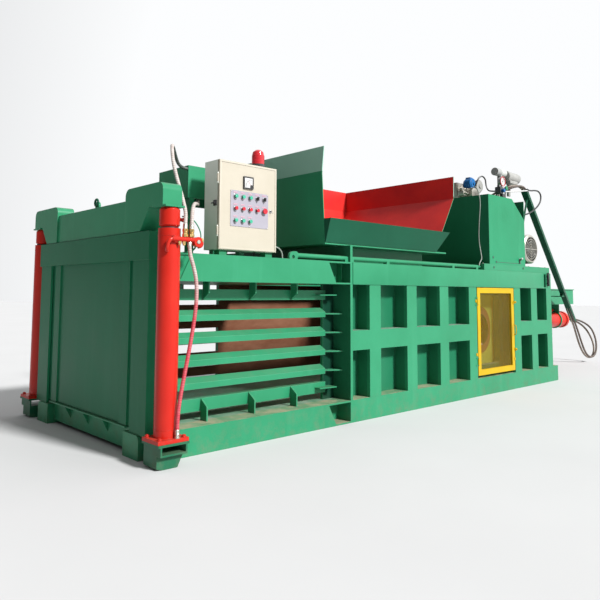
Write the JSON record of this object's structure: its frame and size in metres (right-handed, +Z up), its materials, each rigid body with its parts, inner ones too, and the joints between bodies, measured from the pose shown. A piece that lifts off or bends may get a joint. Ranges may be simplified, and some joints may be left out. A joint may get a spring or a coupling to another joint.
{
  "type": "recycling baler",
  "caption": "Horizontal hydraulic baler with a lifting door, slotted bale chamber, open hopper, control cabinet, top-mounted power unit and rear main cylinder",
  "frame": {"origin": "on the floor, on the centre line, under the face of the bulkhead towards the lifting door", "axes": "+X along the machine from the lifting door to the main cylinder, +Y away from the side with the control cabinet, +Z up"},
  "size_m": [8.9396, 2.416, 2.74],
  "materials": {
    "green_paint": "semi-gloss enamel",
    "red_paint": "semi-gloss enamel",
    "cream_paint": "fine texture powder coat",
    "grey_paint": "semi-gloss enamel",
    "yellow_paint": "semi-gloss enamel",
    "bare_steel": "plain machined and zinc plated",
    "chrome_rod": "ground and plated",
    "hose_wrap": "spiral wrap",
    "hose_rubber": "matte",
    "beacon_red": "clear moulded dome",
    "button_green": "moulded",
    "button_red": "moulded",
    "knob_black": "moulded"
  },
  "bodies": {
    "frame": {"base_beam_near": "green_paint", "base_beam_far": "green_paint", "chamber_beam_near": "green_paint", "chamber_beam_far": "green_paint", "tie_grille_near": "green_paint", "tie_grille_far": "green_paint", "press_side_near": "green_paint", "press_side_far": "green_paint", "cylinder_bracket_near": "green_paint", "cylinder_bracket_far": "green_paint", "lift_barrel_near": "red_paint", "lift_barrel_far": "red_paint", "chamber_floor": "green_paint", "bulkhead": "green_paint", "roof_plate": "green_paint", "hopper": "green_paint", "hopper_flap": "green_paint", "door_portal": "green_paint", "front_sill": "green_paint", "hose_bridge": "green_paint", "cabinet_box": "cream_paint", "beacon": "beacon_red", "guide_pipe": "green_paint", "oil_tank": "green_paint", "unit_guard": "green_paint", "pump_motor": "grey_paint", "fan_cover": "bare_steel", "pump_set": "grey_paint", "valve_stack": "bare_steel", "pressure_gauge": "bare_steel", "return_filter": "bare_steel", "hose_tray": "green_paint", "rear_frame": "green_paint", "cylinder_beam": "green_paint", "main_barrel": "red_paint", "lift_hoses": "hose_wrap", "main_hoses": "hose_rubber", "hose_manifold": "red_paint"},
    "lift_door": {"door_plate": "green_paint", "crossbeam": "green_paint", "lift_rod_near": "red_paint", "lift_rod_far": "red_paint"},
    "ram": {"ram_box": "green_paint", "main_rod": "chrome_rod"},
    "fan": {"motor_fan": "grey_paint"},
    "hatch": {"inspection_door": "yellow_paint"},
    "panel_door": {"cabinet_door": "cream_paint"},
    "green_button_1": {"green_button_1": "button_green"},
    "green_button_2": {"green_button_2": "button_green"},
    "green_button_3": {"green_button_3": "button_green"},
    "red_button_1": {"red_button_1": "button_red"},
    "red_button_2": {"red_button_2": "button_red"},
    "red_button_3": {"red_button_3": "button_red"},
    "red_button_4": {"red_button_4": "button_red"},
    "start_button_1": {"start_button_1": "button_green"},
    "start_button_2": {"start_button_2": "button_green"},
    "start_button_3": {"start_button_3": "button_green"},
    "selector_left": {"selector_left": "knob_black"},
    "selector_right": {"selector_right": "knob_black"},
    "stop_button": {"stop_button": "button_red"}
  },
  "joints": [
    {"name": "door_lift", "type": "slide", "parent": "frame", "child": "lift_door", "axis": [0, 0, 1], "range_m": [0, 1.03]},
    {"name": "ram_stroke", "type": "slide", "parent": "frame", "child": "ram", "axis": [-1, 0, 0], "range_m": [0, 2.3]},
    {"name": "fan_spin", "type": "hinge", "parent": "frame", "child": "fan", "pos_m": [3.556, -0.919, 1.705], "axis": [0, 1, 0], "continuous": true},
    {"name": "hatch_swing", "type": "hinge", "parent": "frame", "child": "hatch", "pos_m": [2.126, -1.006, 0.709], "axis": [0, 0, -1], "range_deg": [0, 120]},
    {"name": "panel_swing", "type": "hinge", "parent": "frame", "child": "panel_door", "pos_m": [-1.398, -0.909, 1.79], "axis": [0, 0, -1], "range_deg": [0, 110]},
    {"name": "green_button_1_press", "type": "slide", "parent": "panel_door", "child": "green_button_1", "axis": [0, 1, 0], "range_m": [0, 0.005], "stiffness_N_per_m": 400},
    {"name": "green_button_2_press", "type": "slide", "parent": "panel_door", "child": "green_button_2", "axis": [0, 1, 0], "range_m": [0, 0.005], "stiffness_N_per_m": 400},
    {"name": "green_button_3_press", "type": "slide", "parent": "panel_door", "child": "green_button_3", "axis": [0, 1, 0], "range_m": [0, 0.005], "stiffness_N_per_m": 400},
    {"name": "red_button_1_press", "type": "slide", "parent": "panel_door", "child": "red_button_1", "axis": [0, 1, 0], "range_m": [0, 0.005], "stiffness_N_per_m": 400},
    {"name": "red_button_2_press", "type": "slide", "parent": "panel_door", "child": "red_button_2", "axis": [0, 1, 0], "range_m": [0, 0.005], "stiffness_N_per_m": 400},
    {"name": "red_button_3_press", "type": "slide", "parent": "panel_door", "child": "red_button_3", "axis": [0, 1, 0], "range_m": [0, 0.005], "stiffness_N_per_m": 400},
    {"name": "red_button_4_press", "type": "slide", "parent": "panel_door", "child": "red_button_4", "axis": [0, 1, 0], "range_m": [0, 0.005], "stiffness_N_per_m": 400},
    {"name": "start_button_1_press", "type": "slide", "parent": "panel_door", "child": "start_button_1", "axis": [0, 1, 0], "range_m": [0, 0.005], "stiffness_N_per_m": 400},
    {"name": "start_button_2_press", "type": "slide", "parent": "panel_door", "child": "start_button_2", "axis": [0, 1, 0], "range_m": [0, 0.005], "stiffness_N_per_m": 400},
    {"name": "start_button_3_press", "type": "slide", "parent": "panel_door", "child": "start_button_3", "axis": [0, 1, 0], "range_m": [0, 0.005], "stiffness_N_per_m": 400},
    {"name": "stop_press", "type": "slide", "parent": "panel_door", "child": "stop_button", "axis": [0, 1, 0], "range_m": [0, 0.006], "stiffness_N_per_m": 500},
    {"name": "selector_left_turn", "type": "hinge", "parent": "panel_door", "child": "selector_left", "pos_m": [-1.024, -0.931, 1.863], "axis": [0, 1, 0], "range_deg": [-45, 45]},
    {"name": "selector_right_turn", "type": "hinge", "parent": "panel_door", "child": "selector_right", "pos_m": [-0.952, -0.931, 1.863], "axis": [0, 1, 0], "range_deg": [-45, 45]}
  ]
}
